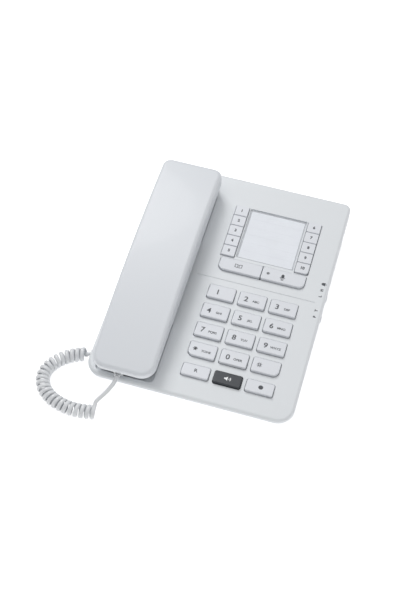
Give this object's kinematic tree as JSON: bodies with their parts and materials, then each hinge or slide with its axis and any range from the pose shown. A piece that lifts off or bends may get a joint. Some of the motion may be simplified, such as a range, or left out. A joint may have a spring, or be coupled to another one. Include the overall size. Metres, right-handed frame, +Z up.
{
  "type": "corded desk telephone",
  "caption": "Corded desk telephone: wedge-shaped base with keypad, memory keys, index-card window and slide switches, and a handset on a left cradle with a coiled cord.",
  "frame": {"origin": "bottom centre of the telephone without its cord, on the surface it stands on", "axes": "+X to the user's right, +Y away from the user, +Z up"},
  "size_m": [0.2055, 0.2518, 0.0617],
  "materials": {
    "housing_plastic": "fine-textured pale grey-white ABS",
    "key_plastic": "smooth pale grey ABS keycaps with printed legends",
    "dark_key_plastic": "dark slate ABS keycap",
    "foot_rubber": "soft grey rubber",
    "mat_silicone": "translucent grey silicone",
    "steel": "zinc-plated steel",
    "circuit_board": "green solder mask",
    "clear_plastic": "clear polished acrylic",
    "card_paper": "smooth ruled card",
    "led_lens": "grey diffused lens, unlit",
    "capsule_metal": "drawn metal can",
    "black_plastic": "moulded black nylon",
    "plug_clear": "clear polycarbonate plug body",
    "cord_vinyl": "semi-gloss pale grey PVC"
  },
  "bodies": {
    "base": {"top_housing": "housing_plastic", "bottom_housing": "housing_plastic", "rubber_feet": "foot_rubber", "housing_screws": "steel", "key_mat": "mat_silicone", "keypad_board": "circuit_board", "board_screws": "steel", "main_board": "circuit_board", "index_window": "clear_plastic", "index_card": "card_paper", "in_use_led": "led_lens", "microphone": "capsule_metal", "loudspeaker": "capsule_metal", "hook_spring": "steel", "hook_switch": "black_plastic", "base_cord_jack": "black_plastic", "line_jack": "black_plastic", "slide_switch_bodies": "black_plastic", "ballast_weight": "steel", "cord_plug_base": "plug_clear", "cord_coil": "cord_vinyl", "cord_tail": "cord_vinyl"},
    "handset": {"handset_top_shell": "housing_plastic", "handset_bottom_shell": "housing_plastic", "earpiece_capsule": "capsule_metal", "mouthpiece_capsule": "capsule_metal", "handset_weight": "steel", "handset_screws": "steel", "handset_cord_jack": "black_plastic", "cord_plug_handset": "plug_clear"},
    "hook_plunger": {"hook_plunger": "key_plastic"},
    "ringer_switch": {"ringer_switch_knob": "key_plastic"},
    "dial_mode_switch": {"dial_mode_switch_knob": "key_plastic"},
    "key_1": {"key_1": "key_plastic"},
    "key_2": {"key_2": "key_plastic"},
    "key_3": {"key_3": "key_plastic"},
    "key_4": {"key_4": "key_plastic"},
    "key_5": {"key_5": "key_plastic"},
    "key_6": {"key_6": "key_plastic"},
    "key_7": {"key_7": "key_plastic"},
    "key_8": {"key_8": "key_plastic"},
    "key_9": {"key_9": "key_plastic"},
    "key_star": {"key_star": "key_plastic"},
    "key_0": {"key_0": "key_plastic"},
    "key_hash": {"key_hash": "key_plastic"},
    "key_flash": {"key_flash": "key_plastic"},
    "key_speaker": {"key_speaker": "dark_key_plastic"},
    "key_redial": {"key_redial": "key_plastic"},
    "memory_key_1": {"memory_key_1": "key_plastic"},
    "memory_key_2": {"memory_key_2": "key_plastic"},
    "memory_key_3": {"memory_key_3": "key_plastic"},
    "memory_key_4": {"memory_key_4": "key_plastic"},
    "memory_key_5": {"memory_key_5": "key_plastic"},
    "memory_key_6": {"memory_key_6": "key_plastic"},
    "memory_key_7": {"memory_key_7": "key_plastic"},
    "memory_key_8": {"memory_key_8": "key_plastic"},
    "memory_key_9": {"memory_key_9": "key_plastic"},
    "memory_key_10": {"memory_key_10": "key_plastic"},
    "key_store": {"key_store": "key_plastic"},
    "key_mute": {"key_mute": "key_plastic"}
  },
  "joints": [
    {"name": "handset_lift", "type": "slide", "parent": "base", "child": "handset", "axis": [0, -0.1132, 0.9936], "range_m": [0, 0.08], "deforming": ["cord_tail", "hook_spring"]},
    {"name": "hook_press", "type": "slide", "parent": "base", "child": "hook_plunger", "axis": [0, -0.1132, 0.9936], "range_m": [0, 0.005], "stiffness_N_per_m": 60, "springref_m": 0.006},
    {"name": "ringer_slide", "type": "slide", "parent": "base", "child": "ringer_switch", "axis": [0, 0.9936, 0.1132], "range_m": [0, 0.004]},
    {"name": "dial_mode_slide", "type": "slide", "parent": "base", "child": "dial_mode_switch", "axis": [0, 0.9936, 0.1132], "range_m": [0, 0.004]},
    {"name": "key_1_press", "type": "slide", "parent": "base", "child": "key_1", "axis": [0, 0.1132, -0.9936], "range_m": [0, 0.0015], "stiffness_N_per_m": 400, "deforming": ["key_mat"]},
    {"name": "key_2_press", "type": "slide", "parent": "base", "child": "key_2", "axis": [0, 0.1132, -0.9936], "range_m": [0, 0.0015], "stiffness_N_per_m": 400},
    {"name": "key_3_press", "type": "slide", "parent": "base", "child": "key_3", "axis": [0, 0.1132, -0.9936], "range_m": [0, 0.0015], "stiffness_N_per_m": 400},
    {"name": "key_4_press", "type": "slide", "parent": "base", "child": "key_4", "axis": [0, 0.1132, -0.9936], "range_m": [0, 0.0015], "stiffness_N_per_m": 400},
    {"name": "key_5_press", "type": "slide", "parent": "base", "child": "key_5", "axis": [0, 0.1132, -0.9936], "range_m": [0, 0.0015], "stiffness_N_per_m": 400},
    {"name": "key_6_press", "type": "slide", "parent": "base", "child": "key_6", "axis": [0, 0.1132, -0.9936], "range_m": [0, 0.0015], "stiffness_N_per_m": 400},
    {"name": "key_7_press", "type": "slide", "parent": "base", "child": "key_7", "axis": [0, 0.1132, -0.9936], "range_m": [0, 0.0015], "stiffness_N_per_m": 400},
    {"name": "key_8_press", "type": "slide", "parent": "base", "child": "key_8", "axis": [0, 0.1132, -0.9936], "range_m": [0, 0.0015], "stiffness_N_per_m": 400},
    {"name": "key_9_press", "type": "slide", "parent": "base", "child": "key_9", "axis": [0, 0.1132, -0.9936], "range_m": [0, 0.0015], "stiffness_N_per_m": 400},
    {"name": "key_star_press", "type": "slide", "parent": "base", "child": "key_star", "axis": [0, 0.1132, -0.9936], "range_m": [0, 0.0015], "stiffness_N_per_m": 400},
    {"name": "key_0_press", "type": "slide", "parent": "base", "child": "key_0", "axis": [0, 0.1132, -0.9936], "range_m": [0, 0.0015], "stiffness_N_per_m": 400},
    {"name": "key_hash_press", "type": "slide", "parent": "base", "child": "key_hash", "axis": [0, 0.1132, -0.9936], "range_m": [0, 0.0015], "stiffness_N_per_m": 400},
    {"name": "key_flash_press", "type": "slide", "parent": "base", "child": "key_flash", "axis": [0, 0.1132, -0.9936], "range_m": [0, 0.0015], "stiffness_N_per_m": 400},
    {"name": "key_speaker_press", "type": "slide", "parent": "base", "child": "key_speaker", "axis": [0, 0.1132, -0.9936], "range_m": [0, 0.0015], "stiffness_N_per_m": 400},
    {"name": "key_redial_press", "type": "slide", "parent": "base", "child": "key_redial", "axis": [0, 0.1132, -0.9936], "range_m": [0, 0.0015], "stiffness_N_per_m": 400},
    {"name": "memory_key_1_press", "type": "slide", "parent": "base", "child": "memory_key_1", "axis": [0, 0.1132, -0.9936], "range_m": [0, 0.0015], "stiffness_N_per_m": 400},
    {"name": "memory_key_2_press", "type": "slide", "parent": "base", "child": "memory_key_2", "axis": [0, 0.1132, -0.9936], "range_m": [0, 0.0015], "stiffness_N_per_m": 400},
    {"name": "memory_key_3_press", "type": "slide", "parent": "base", "child": "memory_key_3", "axis": [0, 0.1132, -0.9936], "range_m": [0, 0.0015], "stiffness_N_per_m": 400},
    {"name": "memory_key_4_press", "type": "slide", "parent": "base", "child": "memory_key_4", "axis": [0, 0.1132, -0.9936], "range_m": [0, 0.0015], "stiffness_N_per_m": 400},
    {"name": "memory_key_5_press", "type": "slide", "parent": "base", "child": "memory_key_5", "axis": [0, 0.1132, -0.9936], "range_m": [0, 0.0015], "stiffness_N_per_m": 400},
    {"name": "memory_key_6_press", "type": "slide", "parent": "base", "child": "memory_key_6", "axis": [0, 0.1132, -0.9936], "range_m": [0, 0.0015], "stiffness_N_per_m": 400},
    {"name": "memory_key_7_press", "type": "slide", "parent": "base", "child": "memory_key_7", "axis": [0, 0.1132, -0.9936], "range_m": [0, 0.0015], "stiffness_N_per_m": 400},
    {"name": "memory_key_8_press", "type": "slide", "parent": "base", "child": "memory_key_8", "axis": [0, 0.1132, -0.9936], "range_m": [0, 0.0015], "stiffness_N_per_m": 400},
    {"name": "memory_key_9_press", "type": "slide", "parent": "base", "child": "memory_key_9", "axis": [0, 0.1132, -0.9936], "range_m": [0, 0.0015], "stiffness_N_per_m": 400},
    {"name": "memory_key_10_press", "type": "slide", "parent": "base", "child": "memory_key_10", "axis": [0, 0.1132, -0.9936], "range_m": [0, 0.0015], "stiffness_N_per_m": 400},
    {"name": "key_store_press", "type": "slide", "parent": "base", "child": "key_store", "axis": [0, 0.1132, -0.9936], "range_m": [0, 0.0015], "stiffness_N_per_m": 400},
    {"name": "key_mute_press", "type": "slide", "parent": "base", "child": "key_mute", "axis": [0, 0.1132, -0.9936], "range_m": [0, 0.0015], "stiffness_N_per_m": 400}
  ],
  "couplings": [
    {"joint": "hook_press", "follows": "handset_lift", "ratio": 0.0625}
  ]
}
